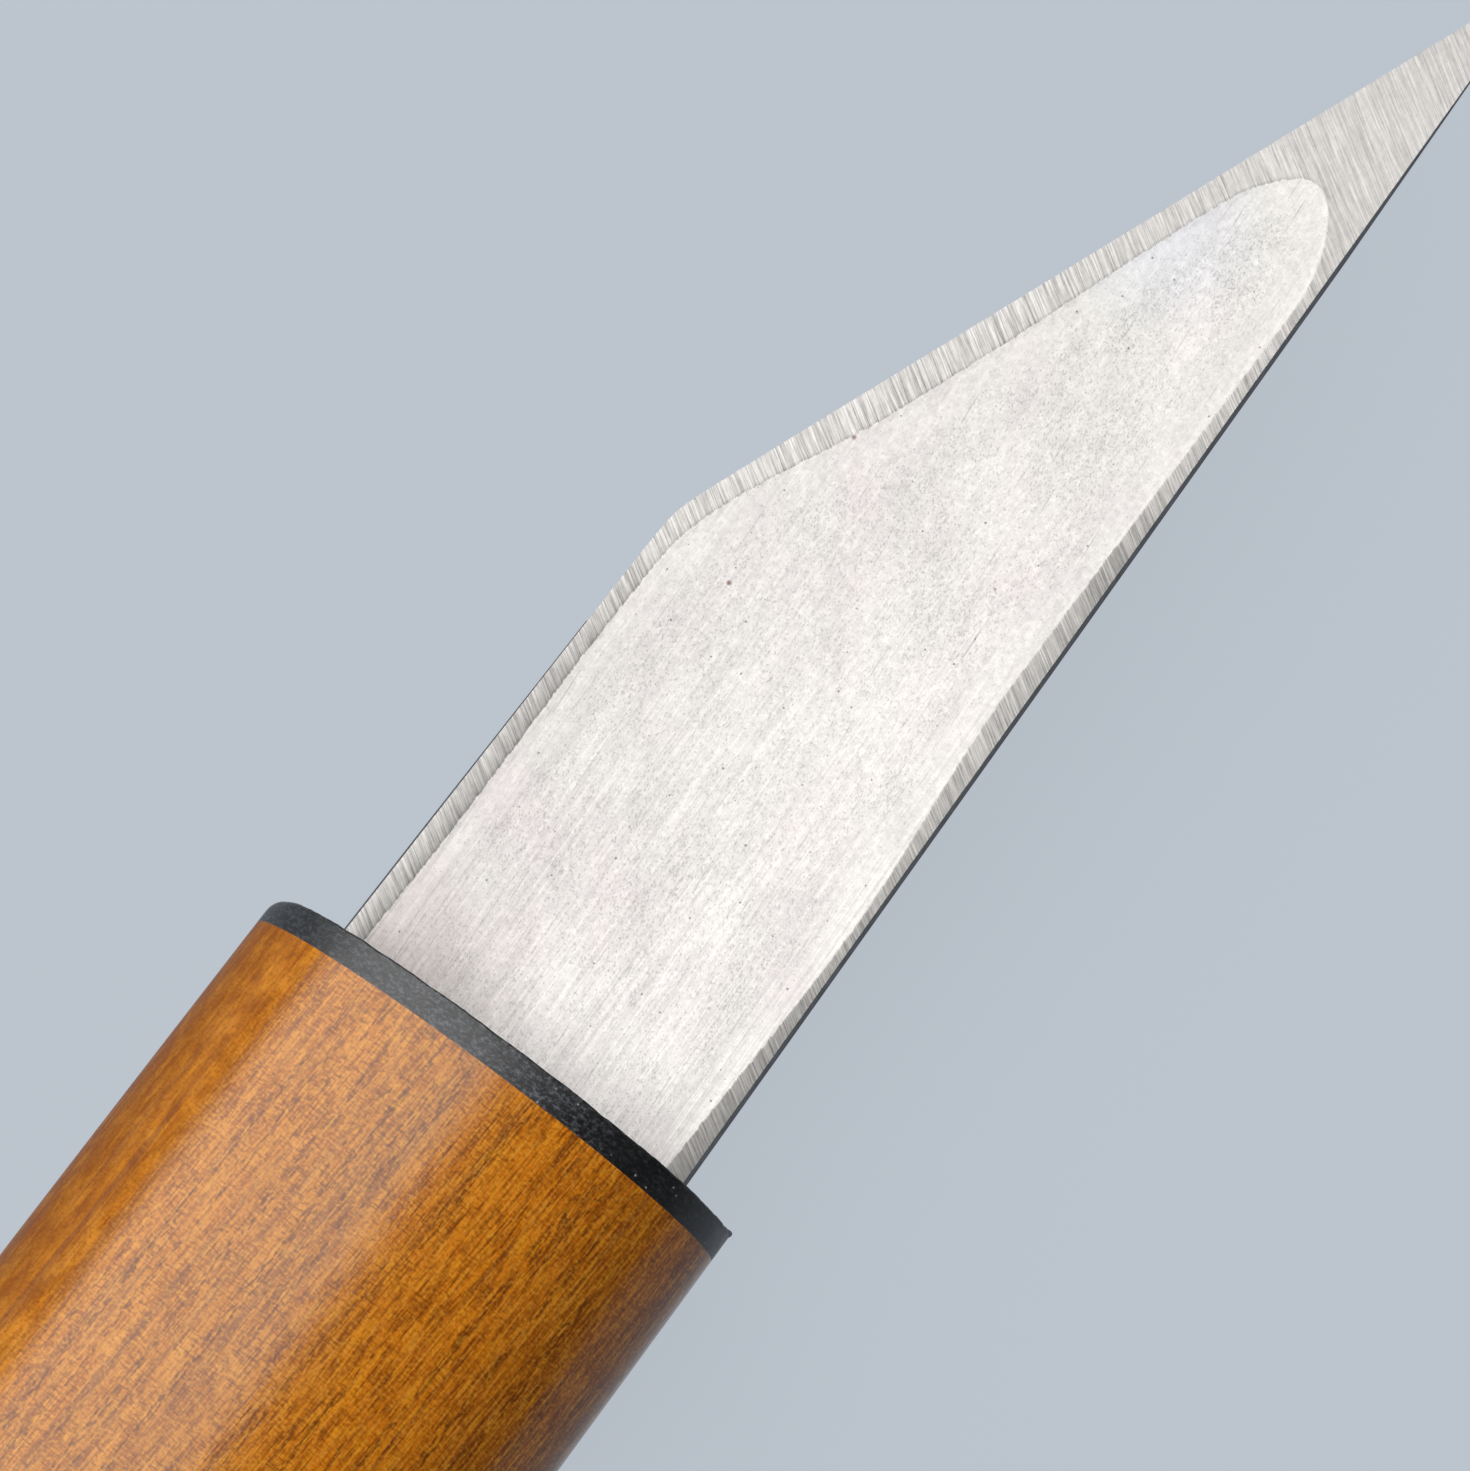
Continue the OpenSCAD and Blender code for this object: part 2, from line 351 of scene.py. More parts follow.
def lapped(x, y, away):
    # how well the stone has reached the rims: best at the tip and the cutting edge, least by the collar
    byEdge = ease((y - lapping["turnFrom"]) / lapping["turnRun"])
    reach = along(lapping["flank"], x) * byEdge + along(lapping["spine"], x) * (1 - byEdge)
    fall = along(lapping["flankFall"], x) * byEdge + along(lapping["spineFall"], x) * (1 - byEdge)
    return reach - fall * (max(lapping["awayLeast"], away) - lapping["awayMiddle"])


def steelMesh():
    outline = ringLine(0)
    edgeLine = hollowOutline()
    low, high = np.array(outline).min(0), np.array(outline).max(0)
    grain = hollow["grain"]
    rows = np.arange(low[1], high[1], grain * hollow["rowStep"])
    fill = []
    for j, y in enumerate(rows):
        xs = np.arange(low[0] + (j % 2) * grain / 2, high[0], grain)
        fill += [(x, y) for x in xs]
    fill = np.array(fill)
    # rows of points beside the hollow's edge carry its small step
    around = np.array(edgeLine)
    lead = np.roll(around, -1, axis=0) - np.roll(around, 1, axis=0)
    normal = np.stack([-lead[:, 1], lead[:, 0]], 1) / np.maximum(np.hypot(*lead.T), 1e-9)[:, None]
    beside = np.concatenate([around + normal * off for off in hollow["stepRows"]])
    toHollow = nearest(fill, edgeLine)
    clearOut, clearIn = hollow["stepClear"]
    fill = fill[(toHollow > clearIn) | (toHollow < clearOut)]
    keep = np.concatenate([fill, beside])
    keep = keep[nearest(keep, outline) > hollow["outlineClear"]]
    points = [Vector(p) for p in outline + edgeLine + [tuple(p) for p in keep]]
    n, m = len(outline), len(edgeLine)
    edges = [(i, (i + 1) % n) for i in range(n)] + [(n + i, n + (i + 1) % m) for i in range(m)]
    verts, _, faces, origin, _, _ = geometry.delaunay_2d_cdt(points, edges, [], 1, 1e-5)
    flat = np.array([(v.x, v.y) for v in verts])
    inside = nearest(flat, edgeLine)
    found = {}
    for new, olds in enumerate(origin):
        for old in olds:
            found[old] = new
    coords = []
    for (x, y), d in zip(flat, inside):
        depth = 0
        if d > 0:
            depth = hollowDepth(x, y) - along(hollow["ledge"], x) * (1 - ease(d / hollow["ledgeRun"]))
        coords.append(spot(x, y, backZ - depth))
    ring = [found[i] for i in range(n)]
    kinds = [0] * len(faces)  # each face's material: 0 the back, 1 the walls, 2 the bevel
    signed = list(inside)
    faces = [tuple(f) for f in faces]
    bevelled = range(blade["spineCount"], blade["spineCount"] + blade["edgeCount"])
    for k in range(1, blade["wallSteps"] + 1):
        depth = blade["steel"] * k / blade["wallSteps"]
        line = ringLine(depth)
        below = list(range(len(coords), len(coords) + n))
        coords += [spot(x, y, backZ - depth) for x, y in line]
        signed += [blade["wallAway"]] * n  # the walls count as well outside the hollow
        for i in range(n):
            j = (i + 1) % n
            faces.append((ring[i], below[i], below[j], ring[j]))
            kinds.append(2 if i in bevelled else 1)
        ring = below
    faces.append(tuple(reversed(ring)))
    kinds.append(1)
    mesh = bpy.data.meshes.new("bladeSteel")
    mesh.from_pydata(coords, [], faces)
    bite = [lapped(*((v - mouth) / mm).xy, d) for v, d in zip(coords, signed)]
    for name, values in (("hollowEdge", signed), ("lapped", bite)):
        mesh.attributes.new(name, "FLOAT", "POINT").data.foreach_set("value", np.array(values, np.float32))
    mesh.polygons.foreach_set("material_index", kinds)
    return mesh


def hollowGroundSteel():
    # carbon steel: the hollow is ground matt and pale, with pits, faint streaks and grey and pink clouds;
    # the rims are lapped on a stone, grey with slanting scratches, and darker by the collar
    made, tree, shader, place = newMaterial("hollowGroundSteel")
    away = put(tree, "ShaderNodeAttribute", attribute_name="hollowEdge").outputs["Fac"]
    reached = put(tree, "ShaderNodeAttribute", attribute_name="lapped").outputs["Fac"]
    lap = 58.3  # the lapping marks' angle to the blade
    deep = 20  # mm, so that no pattern changes over the hollow's depth
    # lapping marks and grit are about 0.03 mm wide, the marks drawn at 0.085 mm so that they show
    tone = layPatterns(tree, place, dict(
        mark=(2.6, 0.085, deep, lap, 2, 0.6), group=(5, 0.4, deep, lap, 2, 0.5),
        ragged=(1.4, 0.35, deep, lap, 3, 0.6), cloud=(7, 4.2, deep, 18, 5, 0.65),
        blush=(9, 6, deep, 20, 2, 0.5), streak=(11, 0.15, deep, 1.5, 4, 0.65),
        stipple=(0.4, 0.34, deep, 0, 4, 0.75), fleck=(0.17, 0.11, deep, 14, 2, 0.5),
        score=(4.5, 0.13, deep, 4, 1, 0.5)))
    # the hollow's border is ragged by up to 0.15 mm either way
    shift = put(tree, "ShaderNodeMath", {0: tone["ragged"], 1: 0.3, 2: -0.15},
                operation="MULTIPLY_ADD").outputs[0]
    away = put(tree, "ShaderNodeMath", {0: away, 1: shift}, operation="ADD").outputs[0]
    inHollow = put(tree, "ShaderNodeMapRange", {"Value": away, 1: -0.04, 2: 0.04}).outputs[0]
    # rims: scratches on a grey that pales where the stone reached, with painted shade along the hollow's edge
    rim = put(tree, "ShaderNodeMix", {0: reached, 6: linear("#807e7b"), 7: linear("#d2cfcc")},
              data_type="RGBA").outputs[2]
    # streaks by the collar give way to a sandy stipple; towards the tip the rims are honed finer
    spread = put(tree, "ShaderNodeSeparateXYZ", {0: place}).outputs
    honed, streaky, sandy = [
        put(tree, "ShaderNodeMapRange", {"Value": spread[0], 1: mouth.x + x0 * mm, 2: mouth.x + x1 * mm,
                                         3: first, 4: last}).outputs[0]
        for x0, x1, first, last in ((60, 72, 2.0, 1.2), (8, 45, 0.55, 0.2), (5, 40, 0.42, 0.5))]
    shade = dict(rim=1.0, hollow=1.0)
    for part, name, gain in (("rim", "mark", honed), ("rim", "group", 0.16), ("rim", "stipple", 0.45),
                             ("hollow", "cloud", 0.26), ("hollow", "streak", streaky),
                             ("hollow", "stipple", sandy)):
        swing = put(tree, "ShaderNodeMath", {0: tone[name], 1: 0.5}, operation="SUBTRACT").outputs[0]
        shade[part] = put(tree, "ShaderNodeMath", {0: swing, 1: gain, 2: shade[part]},
                          operation="MULTIPLY_ADD").outputs[0]
    # painted shade: a dark line is painted along the hollow's edge on the rims' side, where its small step
    # would be shaded, but not on the spine's side
    paintedShadeLine = put(tree, "ShaderNodeMapRange", {"Value": away, 1: -0.22, 2: 0.0, 3: 0.0, 4: 0.2}).outputs[0]
    upper = put(tree, "ShaderNodeMapRange", {"Value": spread[1], 1: -9.9 * mm, 2: -9.2 * mm}).outputs[0]
    paintedShadeLine = put(tree, "ShaderNodeMath", {0: paintedShadeLine, 1: upper}, operation="MULTIPLY").outputs[0]
    scratchesAndShadeLine = put(tree, "ShaderNodeMath", {0: shade["rim"], 1: paintedShadeLine}, operation="SUBTRACT").outputs[0]
    rim = put(tree, "ShaderNodeVectorMath", {0: rim, "Scale": scratchesAndShadeLine}, operation="SCALE").outputs[0]
    # small flecks gather in the darker clouds and keep off the border; a few scores run along the hollow
    clean = put(tree, "ShaderNodeMapRange", {"Value": away, 1: 0.3, 2: 2.4, 3: 0.12, 4: 0.0}).outputs[0]
    thick = put(tree, "ShaderNodeMath", {0: tone["cloud"], 1: -0.25, 2: tone["fleck"]},
                operation="MULTIPLY_ADD").outputs[0]
    thick = put(tree, "ShaderNodeMath", {0: thick, 1: clean}, operation="SUBTRACT").outputs[0]
    shade = put(tree, "ShaderNodeMath", {0: clean, 1: 0.1, 2: shade["hollow"]},
                operation="MULTIPLY_ADD").outputs[0]
    # painted shade: the strip along the spine is painted a little darker, where the hollow's curve turns it
    # to the lamp
    paintedShadeBySpine = put(tree, "ShaderNodeMapRange", {"Value": spread[1], 1: -10 * mm, 2: -6.5 * mm, 3: 0.96,
                                              4: 1.0}).outputs[0]
    shade = put(tree, "ShaderNodeMath", {0: shade, 1: paintedShadeBySpine}, operation="MULTIPLY").outputs[0]
    for value, low, high, least in ((thick, 0.41, 0.62, 0.75), (tone["score"], 0.7, 0.78, 0.8)):
        dark = put(tree, "ShaderNodeMapRange", {"Value": value, 1: low, 2: high, 3: 1.0,
                                                4: least}).outputs[0]
        shade = put(tree, "ShaderNodeMath", {0: shade, 1: dark}, operation="MULTIPLY").outputs[0]
    # pits: many fine ones and a few that show by themselves, each cell's own random value giving the size
    for cell, least, most, depth in ((0.42, 0.05, 0.11, 0.25), (2.6, 0.016, 0.034, 0.6)):
        laid = put(tree, "ShaderNodeMapping", {"Vector": place, "Scale": (cell * mm,) * 3},
                   vector_type="TEXTURE")
        pit = put(tree, "ShaderNodeTexVoronoi", {"Vector": laid.outputs[0], "Scale": 1.0},
                  voronoi_dimensions="2D")
        size = put(tree, "ShaderNodeSeparateColor", {0: pit.outputs["Color"]}).outputs[0]
        reach = put(tree, "ShaderNodeMath", {0: pit.outputs["Distance"], 1: size},
                    operation="DIVIDE").outputs[0]
        dark = put(tree, "ShaderNodeMapRange", {"Value": reach, 1: least, 2: most, 3: 1 - depth,
                                                4: 1.0}).outputs[0]
        shade = put(tree, "ShaderNodeMath", {0: shade, 1: dark}, operation="MULTIPLY").outputs[0]
    rosy = put(tree, "ShaderNodeMapRange", {"Value": tone["blush"], 1: 0.45, 2: 0.7}).outputs[0]
    ground = put(tree, "ShaderNodeMix", {0: rosy, 6: linear("#f4f2ef"), 7: linear("#f3eeed")},
                 data_type="RGBA").outputs[2]
    # painted shade by the collar, a pale and a cold cast on the tongue, and two rust specks:
    # place, how far it reaches in mm, strength and tint; the inner third is even
    for (x, y), width, most, tint in (((1, 8.5), 9, 0.5, "#d6cecb"), ((61, -5.5), 6, 0.4, "#fbf9f6"),
                                      ((62, -1), 7, 0.6, "#eef0f4"), ((29.95, 6.27), 0.2, 0.7, "#8a5a3c"),
                                      ((41.09, 5.6), 0.2, 0.7, "#8f7050")):
        middle = tuple(spot(x, y, backZ - hollowDepth(x, y)))
        far = put(tree, "ShaderNodeVectorMath", {0: place, 1: middle}, operation="DISTANCE").outputs["Value"]
        near = put(tree, "ShaderNodeMapRange", {"Value": far, 1: width * mm, 2: 0.3 * width * mm, 3: 0.0,
                                                4: most}).outputs[0]
        ground = put(tree, "ShaderNodeMix", {0: near, 6: ground, 7: linear(tint)},
                     data_type="RGBA").outputs[2]
    ground = put(tree, "ShaderNodeVectorMath", {0: ground, "Scale": shade}, operation="SCALE").outputs[0]
    colour = put(tree, "ShaderNodeMix", {0: inHollow, 6: rim, 7: ground}, data_type="RGBA").outputs[2]
    rough = put(tree, "ShaderNodeMapRange", {"Value": inHollow, 3: 0.5, 4: 0.77}).outputs[0]
    height = put(tree, "ShaderNodeMix", {0: inHollow, 2: tone["mark"], 3: tone["stipple"]}).outputs[0]
    bump = put(tree, "ShaderNodeBump", {"Height": height, "Strength": 0.25, "Distance": 0.01 * mm})
    tree.links.new(colour, shader.inputs["Base Color"])
    tree.links.new(rough, shader.inputs["Roughness"])
    tree.links.new(bump.outputs[0], shader.inputs["Normal"])
    shader.inputs["Metallic"].default_value = 1.0
    return made


def forgedSkin():
    # fire scale left by forging: charcoal black, dull and slightly rough, worn paler in spots
    made, tree, shader, place = newMaterial("forgedScaleIron")
    scale = put(tree, "ShaderNodeTexNoise", {"Vector": place, "Scale": 1 / (0.9 * mm), "Detail": 5.0,
                                             "Roughness": 0.65})
    tone = put(tree, "ShaderNodeMapRange", {"Value": scale.outputs[0], 1: 0.35, 2: 0.7}).outputs[0]
    colour = put(tree, "ShaderNodeMix", {0: tone, 6: linear("#2c2d2f"), 7: linear("#5a5a5b")},
                 data_type="RGBA")
    rough = put(tree, "ShaderNodeMapRange", {"Value": scale.outputs[0], 3: 0.7, 4: 0.45}).outputs[0]
    bump = put(tree, "ShaderNodeBump", {"Height": scale.outputs[0], "Strength": 0.5, "Distance": 0.05 * mm})
    tree.links.new(colour.outputs[2], shader.inputs["Base Color"])
    tree.links.new(rough, shader.inputs["Roughness"])
    tree.links.new(bump.outputs[0], shader.inputs["Normal"])
    shader.inputs["Metallic"].default_value = 0.6
    return made


def groundBevel(name, pale, dark, rough):
    # a bevel ground on a wheel across the edge: straight lines and a satin shine;
    # real grinding lines are finer, drawn 0.14 mm wide so that they show
    made, tree, shader, place = newMaterial(name)
    grind = math.radians(62)  # the lines' angle to the blade
    lines = put(tree, "ShaderNodeMapping", {"Vector": place, "Rotation": (0, 0, grind),
                                            "Scale": (7 * mm, 0.14 * mm, 2 * mm)}, vector_type="TEXTURE")
    lines = put(tree, "ShaderNodeTexNoise", {"Vector": lines.outputs[0], "Scale": 1.0, "Detail": 3.0,
                                             "Roughness": 0.6})
    tone = put(tree, "ShaderNodeMapRange", {"Value": lines.outputs[0], 1: 0.3, 2: 0.7}).outputs[0]
    colour = put(tree, "ShaderNodeMix", {0: tone, 6: linear(dark), 7: linear(pale)}, data_type="RGBA")
    bump = put(tree, "ShaderNodeBump", {"Height": lines.outputs[0], "Strength": 0.3, "Distance": 0.01 * mm})
    tree.links.new(colour.outputs[2], shader.inputs["Base Color"])
    tree.links.new(bump.outputs[0], shader.inputs["Normal"])
    shader.inputs["Roughness"].default_value = rough
    shader.inputs["Metallic"].default_value = 1.0
    return made


skin = forgedSkin()
steelBevel = groundBevel("groundSteelBevel", "#d8d6d2", "#b4b2ae", 0.28)
ironBevel = groundBevel("groundIronBevel", "#b9b7b4", "#8f8d8b", 0.42)


def makeBladeSteel():
    mesh = steelMesh()
    for made in (hollowGroundSteel(), skin, steelBevel):
        mesh.materials.append(made)
    piece = addObject("bladeSteel", mesh)
    finishPiece(piece, "blade_steel", sharpAngle=28)


iron = dict(edgeWear=0.12, wearSteps=2, bevelWithin=3.0)  # bevelWithin: degrees off the bevel's own angle


def makeBladeIron():
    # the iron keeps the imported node's form, with the sharp arrises of its front face worn round
    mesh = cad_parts["blade_iron"].data.copy()
    mesh.name = "bladeIron"
    work = bmesh.new()
    work.from_mesh(mesh)
    bmesh.ops.remove_doubles(work, verts=work.verts, dist=1e-6)
    bmesh.ops.dissolve_limit(work, angle_limit=math.radians(1), verts=work.verts, edges=work.edges)
    frontZ = spot(0, 0, -backZ).z
    worn = [e for e in work.edges if all(abs(v.co.z - frontZ) < 1e-6 for v in e.verts)]
    bmesh.ops.bevel(work, geom=worn, offset=iron["edgeWear"] * mm, segments=iron["wearSteps"],
                    affect="EDGES", clamp_overlap=True)
    for face in work.faces:
        tilt = math.degrees(face.normal.angle(Vector((0, 0, -1))))
        face.material_index = 1 if abs(tilt - blade["bevel"]) < iron["bevelWithin"] else 0
    bmesh.ops.triangulate(work, faces=[f for f in work.faces if len(f.verts) > 4])
    work.to_mesh(mesh)
    work.free()
    mesh.materials.clear()
    mesh.materials.append(skin)
    mesh.materials.append(ironBevel)
    piece = addObject("bladeIron", mesh)
    finishPiece(piece, "blade_iron", sharpAngle=20)


makeBladeSteel()
makeBladeIron()


# Handle and collar, in millimetres; the spreads round the collar are in radians

grip = dict(length=118.0, mouthWide=32.1, mouthThick=20.5, swell=0.5, bellyAt=50.0, buttRound=3.0,
            restWide=6.0)
collarRing = dict(length=1.8, roundEdge=0.14, roundEnd=1.0, roundSpread=0.35, slotGap=0.15,
                  around=720, sideRows=(0, 0.35, 0.7, 1), roundSteps=6,
                  ripple=0.05, rippleWaves=9, fineWaves=40, burr=0.3, burrSpread=0.16, burrOut=0.4)
bellyWide = grip["mouthWide"] + grip["swell"]
flatness = grip["mouthThick"] / grip["mouthWide"]
restZ = -bellyWide * flatness / 2 * math.sqrt(1 - (grip["restWide"] / bellyWide) ** 2)


def gripHalf(x):
    return bellyWide / 2 - grip["swell"] / 2 * (1 + x / grip["bellyAt"]) ** 2


def slotCorners():
    flare = blade["thick"] * slope("lean")
    wide = collarRing["slotGap"] + collarRing["length"] * max(slope("flankTaper"), slope("spineTaper"))
    gapZ = backZ + collarRing["slotGap"]
    return [(blade["edgeHalf"] + wide, gapZ), (-blade["spineHalf"] - wide, gapZ),
            (-blade["spineHalf"] - flare - wide, -gapZ), (blade["edgeHalf"] + flare + wide, -gapZ)]


def slotReach(corners, y, z):  # how far a ray from the middle goes before it meets the slot's wall
    best = 1e9
    for (y0, z0), (y1, z1) in zip(corners, corners[1:] + corners[:1]):
        cross = y * (z1 - z0) - z * (y1 - y0)
        if abs(cross) > 1e-9:
            t = (y0 * (z1 - z0) - z0 * (y1 - y0)) / cross
            if t > 0:
                best = min(best, t)
    return best


def collarMesh():
    count = collarRing["around"]
    turns = [2 * math.pi * i / count for i in range(count)]
    corners = slotCorners()
    inner = []
    for turn in turns:
        y, z = math.cos(turn), math.sin(turn) * flatness
        t = slotReach(corners, y, z)
        inner.append((y * t, z * t))
    for corner in corners:
        near = min(range(count), key=lambda i: math.dist(inner[i], corner))
        inner[near] = corner

    def edgeRound(turn):  # the front edge is worn rounder at the end towards the cutting edge
        off = math.atan2(math.sin(turn), math.cos(turn))
        more = collarRing["roundEnd"] - collarRing["roundEdge"]
        return collarRing["roundEdge"] + more * math.exp(-(off / collarRing["roundSpread"]) ** 2)

    def ragged(turn):  # a sanded edge is never quite straight, and a little burr is left at the spine's end
        y, z = math.cos(turn), math.sin(turn)
        waves, fineWaves = collarRing["rippleWaves"], collarRing["fineWaves"]
        spread = noise.noise(Vector((y * waves, z * waves, 0.5)))
        fine = noise.noise(Vector((y * fineWaves, z * fineWaves, 2.5)))
        toEnd = math.pi - abs(math.atan2(z, y))
        atEnd = math.exp(-(toEnd / collarRing["burrSpread"]) ** 2)
        return collarRing["ripple"] * (spread + 0.5 * fine) + collarRing["burr"] * atEnd * max(0, fine + 0.2)

    def outer(turn, x, inset):
        r = gripHalf(x) - inset
        return (x, r * math.cos(turn), max(r * flatness * math.sin(turn), restZ))

    length = collarRing["length"]
    rings = [[(-length, y, z) for y, z in inner]]
    for part in collarRing["sideRows"]:
        rings.append([outer(t, -length + (length - edgeRound(t)) * part, 0) for t in turns])
    for k in range(1, collarRing["roundSteps"] + 1):
        psi = math.pi / 2 * k / collarRing["roundSteps"]
        ring = []
        for t in turns:
            x = ragged(t) * math.sin(psi) - edgeRound(t) * (1 - math.sin(psi))
            bulge = collarRing["burrOut"] * ragged(t) * math.sin(2 * psi)
            ring.append(outer(t, x, edgeRound(t) * (1 - math.cos(psi)) - bulge))
        rings.append(ring)
    rings.append([(0, y, z) for y, z in inner])
    verts = [spot(*p) for ring in rings for p in ring]
    faces = []
    for r in range(len(rings)):
        s = (r + 1) % len(rings)
        for i in range(count):
            j = (i + 1) % count
            faces.append((r * count + i, s * count + i, s * count + j, r * count + j))
    mesh = bpy.data.meshes.new("collar")
    mesh.from_pydata(verts, [], faces)
    work = bmesh.new()
    work.from_mesh(mesh)
    bmesh.ops.recalc_face_normals(work, faces=work.faces)
    work.to_mesh(mesh)
    work.free()
    return mesh


def sandedPlastic():
    # black plastic sanded flush with the wood: dull, with grey scuffs that are partly painted sheen, and a
    # little pale dust
    made, tree, shader, place = newMaterial("sandedBlackPlastic")
    # sanding scratches are finer than this, drawn coarser so that they show
    tone = layPatterns(tree, place, dict(
        scuff=(0.16, 0.5, 0.5, 0, 4, 0.65), grit=(0.2, 0.26, 0.26, 0, 3, 0.65),
        blot=(0.7, 1.6, 1.6, 0, 3, 0.65)))
    across = put(tree, "ShaderNodeSeparateXYZ", {0: place}).outputs[1]
    dust = put(tree, "ShaderNodeTexVoronoi", {"Vector": place, "Scale": 1 / (0.8 * mm)})
    dusty = put(tree, "ShaderNodeMapRange", {"Value": across, 1: 1 * mm, 2: -4 * mm, 3: 0.02,
                                             4: 0.09}).outputs[0]
    tone["dust"] = put(tree, "ShaderNodeMath", {0: dusty, 1: dust.outputs["Distance"]},
                       operation="SUBTRACT").outputs[0]
    # the middle of the collar is scuffed most, its spine end least: partly real scuffs, partly painted sheen
    # that follows the lamp's reflection
    worn = 1.0
    for y0, y1, first, last in ((-8.5, -3.5, 0.2, 1.1), (-2, 4, 1.4, 1.0), (6, 14, 1.0, 0.45)):
        fade = put(tree, "ShaderNodeMapRange", {"Value": across, 1: y0 * mm, 2: y1 * mm, 3: first,
                                                4: last}).outputs[0]
        worn = put(tree, "ShaderNodeMath", {0: worn, 1: fade}, operation="MULTIPLY").outputs[0]
    colour = layTints(tree, linear("#050506"), tone, {"worn": worn}, (
        ("blot", 0.45, 0.7, 0.5, "#18191b", "worn"), ("grit", 0.5, 0.72, 0.8, "#54575d", "worn"),
        ("scuff", 0.53, 0.72, 0.8, "#5c6066", "worn"), ("dust", -0.02, 0.04, 0.6, "#b4b4b2", None)))
    rough = put(tree, "ShaderNodeMapRange", {"Value": tone["blot"], 1: 0.3, 2: 0.7, 3: 0.36,
                                             4: 0.48}).outputs[0]
    bump = put(tree, "ShaderNodeBump", {"Height": tone["grit"], "Strength": 0.4, "Distance": 0.03 * mm})
    tree.links.new(colour, shader.inputs["Base Color"])
    tree.links.new(rough, shader.inputs["Roughness"])
    tree.links.new(bump.outputs[0], shader.inputs["Normal"])
    shader.inputs["IOR"].default_value = 1.57
    return made


def makeCollar():
    mesh = collarMesh()
    mesh.materials.append(sandedPlastic())
    piece = addObject("collarRing", mesh)
    finishPiece(piece, "collar", sharpAngle=40)


makeCollar()


def lacqueredWood():
    # close-grained hardwood under clear satin lacquer: orange-brown and mottled, with painted shade towards
    # both sides and painted light beside the middle on the spine's side,
    # with rows of short dark vessels, soft streaks, fine specks and patches of silky flecks across the grain
    made, tree, shader, place = newMaterial("satinLacqueredHardwood")
    lie = -2.3  # degrees, the grain runs a little off the handle's axis
    # real fibres and flecks are about 0.03 mm wide, drawn at about 0.2 mm so that they show
    tone = layPatterns(tree, place, dict(
        band=(60, 2.6, 9, lie, 3, 0.5), cloud=(3.2, 1.7, 2.5, lie, 4, 0.65),
        streak=(32, 0.5, 1.4, lie, 2, 0.5), row=(45, 0.6, 1.4, lie, 1, 0.5),
        patch=(2.8, 1.5, 2, lie, 2, 0.5), fibre=(2.6, 0.16, 0.4, lie, 2, 0.5),
        comb=(0.15, 0.7, 0.6, lie, 2, 0.5), line=(2.2, 0.2, 0.5, lie, 3, 0.6),
        vessel=(0.7, 0.17, 0.45, lie, 1, 0.5), glint=(1.3, 0.28, 0.6, lie, 1, 0.5),
        mottle=(1.8, 0.62, 0.9, lie, 2, 0.55), speck=(0.18, 0.22, 0.25, lie, 2, 0.5)))
    tone["side"] = put(tree, "ShaderNodeSeparateXYZ", {0: place}).outputs[1]
    # where a pattern gathers: in patches, in rows, or towards the cutting edge or the spine
    hold = {}
    for name, source, low, high, least in (("patch", "patch", 0.36, 0.54, 0.3),
                                           ("row", "row", 0.53, 0.63, 0.0),
                                           ("edgeward", "side", -7 * mm, 1 * mm, 0.6),
                                           ("inner", "side", 13 * mm, 10.5 * mm, 0.12),
                                           ("border", "side", 10.5 * mm, 13 * mm, 0.0),
                                           ("spineward", "side", 3 * mm, -4 * mm, 0.35)):
        hold[name] = put(tree, "ShaderNodeMapRange", {"Value": tone[source], 1: low, 2: high, 3: least,
                                                      4: 1.0}).outputs[0]
    for name, first, second in (("hatch", "patch", "inner"), ("comb", "hatch", "edgeward"),
                                ("row", "row", "inner")):
        hold[name] = put(tree, "ShaderNodeMath", {0: hold[first], 1: hold[second]},
                         operation="MULTIPLY").outputs[0]
    colour = layTints(tree, linear("#bc700e"), tone, hold, (
        ("band", 0.42, 0.66, 0.4, "#9c540a", None), ("cloud", 0.48, 0.68, 0.6, "#d68e34", None),
        ("cloud", 0.5, 0.3, 0.45, "#9a520e", None), ("patch", 0.46, 0.28, 0.5, "#cf8a34", None),
        # painted light and shade: a lighter orange from the middle towards the spine, then darker towards
        # both sides
        ("side", 1 * mm, -5 * mm, 0.75, "#d6780b", None), ("side", -8 * mm, -15 * mm, 0.7, "#6a3404", None),
        ("side", 12.5 * mm, 16 * mm, 0.8, "#602f04", None),
        ("mottle", 0.48, 0.66, 0.6, "#7e4006", "border"),
        ("mottle", 0.5, 0.68, 0.45, "#86420a", "spineward"),
        ("mottle", 0.46, 0.3, 0.45, "#dd921a", "spineward"),
        ("mottle", 0.45, 0.3, 0.12, "#c87c12", "border"),
        ("streak", 0.54, 0.67, 0.5, "#744428", None), ("fibre", 0.53, 0.66, 0.75, "#743c0a", "hatch"),
        ("fibre", 0.46, 0.32, 0.5, "#de9c38", "inner"), ("comb", 0.53, 0.66, 0.7, "#77400c", "comb"),
        ("comb", 0.46, 0.32, 0.35, "#dc9c3a", "comb"), ("line", 0.52, 0.7, 0.9, "#6a3006", "spineward"),
        ("line", 0.44, 0.3, 0.65, "#e4981c", "spineward"), ("vessel", 0.48, 0.6, 0.72, "#5c2c0c", "row"),
        ("glint", 0.6, 0.72, 0.4, "#dd9a1c", "row"), ("speck", 0.52, 0.68, 0.45, "#74400c", None),
        ("speck", 0.48, 0.32, 0.36, "#dd9c38", "inner")))
    # the lacquer sinks a little over the vessels and streaks
    pores = put(tree, "ShaderNodeMath", {0: tone["streak"], 1: 0.7, 2: tone["vessel"]},
                operation="MULTIPLY_ADD").outputs[0]
    bump = put(tree, "ShaderNodeBump", {"Height": pores, "Strength": 0.4, "Distance": 0.02 * mm},
               invert=True)
